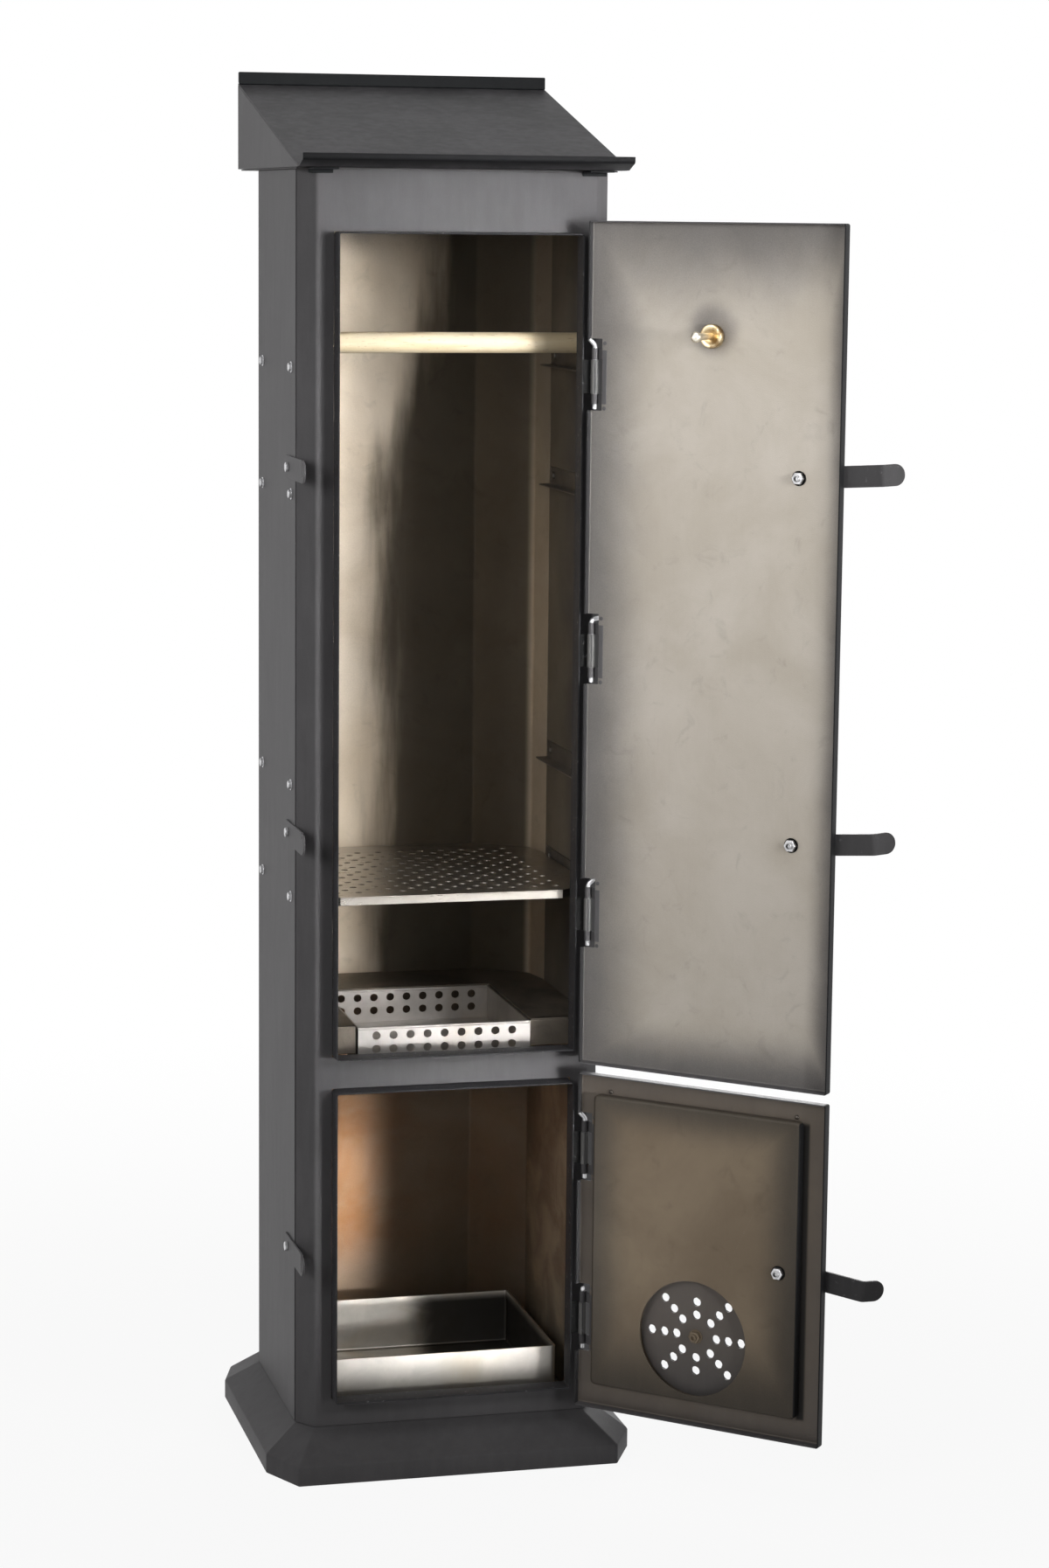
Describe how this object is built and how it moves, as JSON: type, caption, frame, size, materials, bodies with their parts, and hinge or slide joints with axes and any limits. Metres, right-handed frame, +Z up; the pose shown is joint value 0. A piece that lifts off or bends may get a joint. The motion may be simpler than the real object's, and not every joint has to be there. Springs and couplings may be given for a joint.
{
  "type": "cabinet smoker",
  "caption": "Tall free-standing sheet-steel cabinet smoker with hinged chamber and firebox doors, lever latches, pent roof, hanging rod, perforated shelf, chip basket and ash pan.",
  "frame": {"origin": "on the floor under the cabinet, midway between its side panels, on the underside of the base plate", "axes": "+Z up, -Y out of the doorways towards the user, +X towards the side that the doors hinge on"},
  "size_m": [0.6574, 0.6619, 1.6134],
  "materials": {
    "grey_paint": "hammered semi-gloss grey",
    "black_trim": "satin black",
    "stainless": "bright sheet, lightly smoked",
    "smoked_steel": "bare sheet browned by heat and smoke",
    "zinc_steel": "zinc plated",
    "brass": "turned",
    "wood": "bare pale wood",
    "dial_white": "matt",
    "gauge_glass": "clear"
  },
  "bodies": {
    "cabinet": {"plinth_skirt": "grey_paint", "base_plate": "grey_paint", "firebox_floor": "smoked_steel", "left_side_panel": "grey_paint", "right_side_panel": "grey_paint", "front_panel": "grey_paint", "back_panel": "grey_paint", "upper_doorway_collar": "grey_paint", "lower_doorway_collar": "grey_paint", "top_plate": "grey_paint", "roof_slope": "grey_paint", "left_roof_cheek": "grey_paint", "right_roof_cheek": "grey_paint", "roof_back": "grey_paint", "ridge_strip": "black_trim", "left_roof_bracket": "black_trim", "right_roof_bracket": "black_trim", "left_rail_1": "stainless", "right_rail_1": "stainless", "left_rail_2": "stainless", "right_rail_2": "stainless", "left_rail_3": "stainless", "right_rail_3": "stainless", "left_rail_4": "stainless", "right_rail_4": "stainless", "baffle_deck": "smoked_steel", "left_deck_rail": "smoked_steel", "right_deck_rail": "smoked_steel", "left_firebox_liner": "smoked_steel", "right_firebox_liner": "smoked_steel", "top_catch": "grey_paint", "middle_catch": "grey_paint", "bottom_catch": "grey_paint"},
    "upper_door": {"upper_door_panel": "grey_paint", "upper_hinge_pin_1": "zinc_steel", "upper_hinge_pin_2": "zinc_steel", "upper_hinge_pin_3": "zinc_steel", "top_lever_bolt": "zinc_steel", "middle_lever_bolt": "zinc_steel", "thermometer_stem": "brass", "thermometer_case": "zinc_steel", "thermometer_dial": "dial_white", "thermometer_lens": "gauge_glass"},
    "lower_door": {"lower_door_panel": "grey_paint", "lower_hinge_pin_1": "zinc_steel", "lower_hinge_pin_2": "zinc_steel", "bottom_lever_bolt": "zinc_steel", "regulator_bolt": "zinc_steel", "heat_shield": "smoked_steel"},
    "top_lever": {"top_latch_lever": "grey_paint"},
    "middle_lever": {"middle_latch_lever": "grey_paint"},
    "bottom_lever": {"bottom_latch_lever": "grey_paint"},
    "regulator": {"air_regulator": "grey_paint"},
    "rod": {"hanging_rod": "wood"},
    "shelf": {"perforated_shelf": "stainless"},
    "basket": {"chip_basket": "stainless"},
    "pan": {"ash_pan": "stainless"}
  },
  "joints": [
    {"name": "upper_door_hinge", "type": "hinge", "parent": "cabinet", "child": "upper_door", "pos_m": [0.1526, -0.17915, 0.9617], "axis": [0, 0, 1], "range_deg": [-137, 33]},
    {"name": "lower_door_hinge", "type": "hinge", "parent": "cabinet", "child": "lower_door", "pos_m": [0.1526, -0.17915, 0.2688], "axis": [0, 0, 1], "range_deg": [-137, 33]},
    {"name": "top_lever_pivot", "type": "hinge", "parent": "upper_door", "child": "top_lever", "pos_m": [0.3394, -0.35574, 1.166], "axis": [-0.682, -0.7314, 0], "range_deg": [0, 75]},
    {"name": "middle_lever_pivot", "type": "hinge", "parent": "upper_door", "child": "middle_lever", "pos_m": [0.3394, -0.35574, 0.757], "axis": [-0.682, -0.7314, 0], "range_deg": [0, 75]},
    {"name": "bottom_lever_pivot", "type": "hinge", "parent": "lower_door", "child": "bottom_lever", "pos_m": [0.3394, -0.35574, 0.267], "axis": [-0.682, -0.7314, 0], "range_deg": [0, 75]},
    {"name": "regulator_turn", "type": "hinge", "parent": "lower_door", "child": "regulator", "pos_m": [0.26096, -0.28259, 0.173], "axis": [-0.682, -0.7314, 0], "range_deg": [0, 22.5]},
    {"name": "rod_lift", "type": "slide", "parent": "cabinet", "child": "rod", "axis": [0, 0, 1], "range_m": [0, 0.1]},
    {"name": "shelf_lift", "type": "slide", "parent": "cabinet", "child": "shelf", "axis": [0, 0, 1], "range_m": [0, 0.08]},
    {"name": "basket_lift", "type": "slide", "parent": "cabinet", "child": "basket", "axis": [0, 0, 1], "range_m": [0, 0.06]},
    {"name": "pan_lift", "type": "slide", "parent": "cabinet", "child": "pan", "axis": [0, 0, 1], "range_m": [0, 0.06]}
  ]
}
